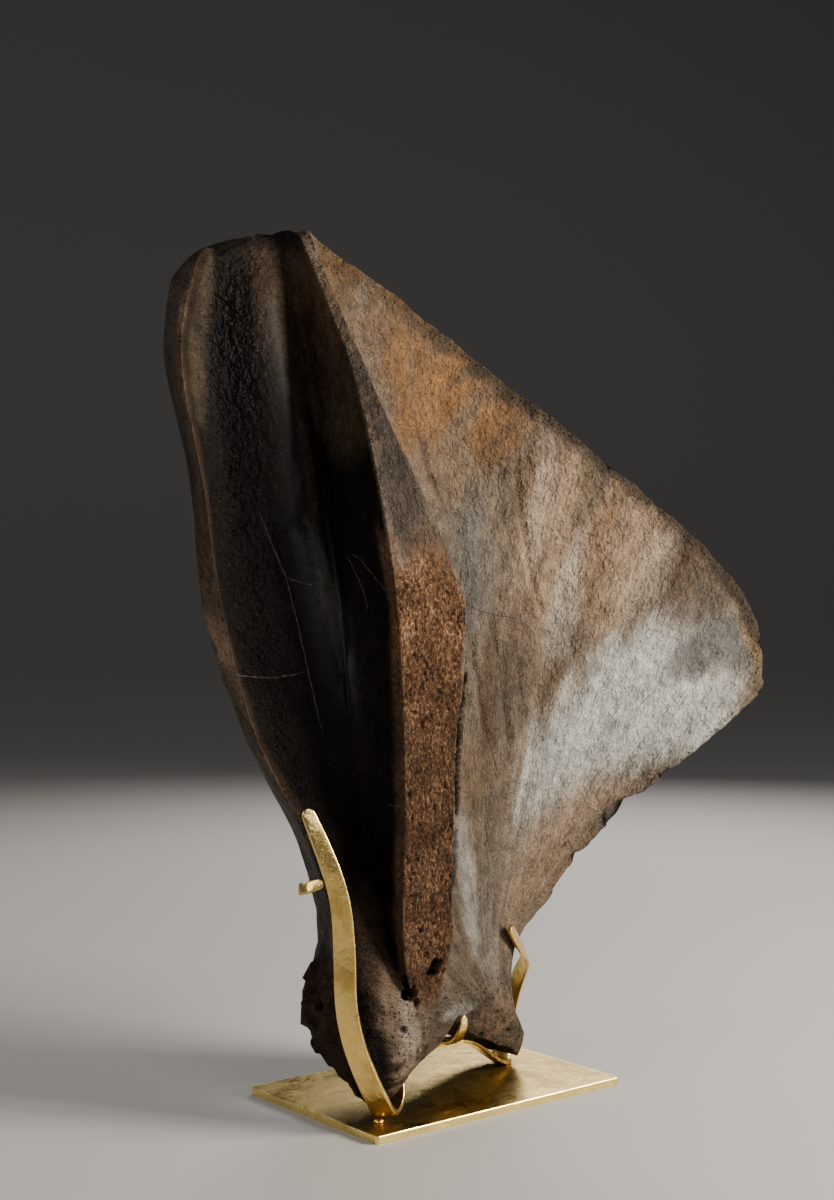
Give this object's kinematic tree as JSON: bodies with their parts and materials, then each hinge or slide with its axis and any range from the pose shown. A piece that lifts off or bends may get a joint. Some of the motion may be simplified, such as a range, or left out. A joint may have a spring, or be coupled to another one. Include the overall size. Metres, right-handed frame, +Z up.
{
  "type": "mounted fossil mammoth shoulder blade",
  "caption": "Fossil mammoth shoulder blade standing upright on a brass stand, its joint end cradled by bent flat bars above a rectangular base plate.",
  "frame": {"origin": "centre of the base plate's underside", "axes": "+Z up; -X towards the bone's front (cranial) edge, +X towards its rear (caudal) edge; -Y is the outer (lateral) side, which carries the spine"},
  "size_m": [0.7418, 0.2303, 0.8932],
  "materials": {
    "fossil_bone": "waxed, mottled brown, grey and tan",
    "brass_plate": "aged, mottled, half polished",
    "brass_bar": "brushed, with brighter worn edges"
  },
  "bodies": {
    "root": {"shoulder_blade": "fossil_bone", "base_plate": "brass_plate", "cranial_arm": "brass_bar", "cranial_prong": "brass_bar", "cranial_weld": "brass_bar", "caudal_arm": "brass_bar", "caudal_claw": "brass_bar", "caudal_weld": "brass_bar"}
  },
  "joints": []
}
